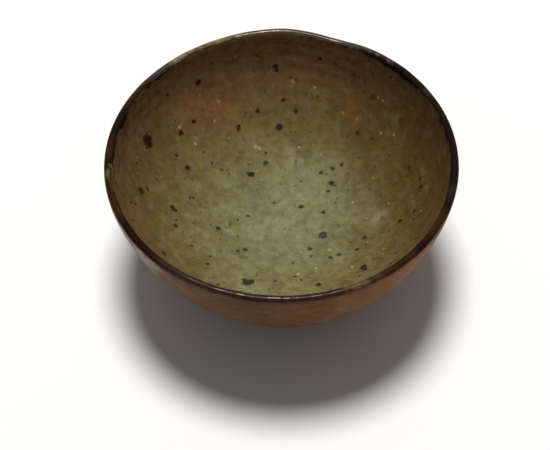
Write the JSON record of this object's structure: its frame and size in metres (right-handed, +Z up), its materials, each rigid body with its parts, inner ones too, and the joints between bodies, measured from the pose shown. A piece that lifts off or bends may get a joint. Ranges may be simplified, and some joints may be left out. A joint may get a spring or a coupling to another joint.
{
  "type": "tea bowl",
  "caption": "Wide hand-thrown stoneware tea bowl on a low foot ring, ash-glazed inside and out, with an iron-brown band over the lip.",
  "frame": {"origin": "on the table under the middle of the foot ring, at the bottom centre of the bowl", "axes": "+Z up along the bowl's axis; +Y towards the small rise in the rim, +X to its right"},
  "size_m": [0.1198, 0.1199, 0.055],
  "materials": {
    "bare_clay": "matte",
    "foot_clay": "matte",
    "outer_glaze": "satin",
    "iron_rim": "gloss",
    "inner_glaze": "satin"
  },
  "bodies": {
    "root": {"clay_body": "bare_clay", "foot_ring": "foot_clay", "outer_glaze": "outer_glaze", "rim_band": "iron_rim", "inner_glaze": "inner_glaze"}
  },
  "joints": []
}
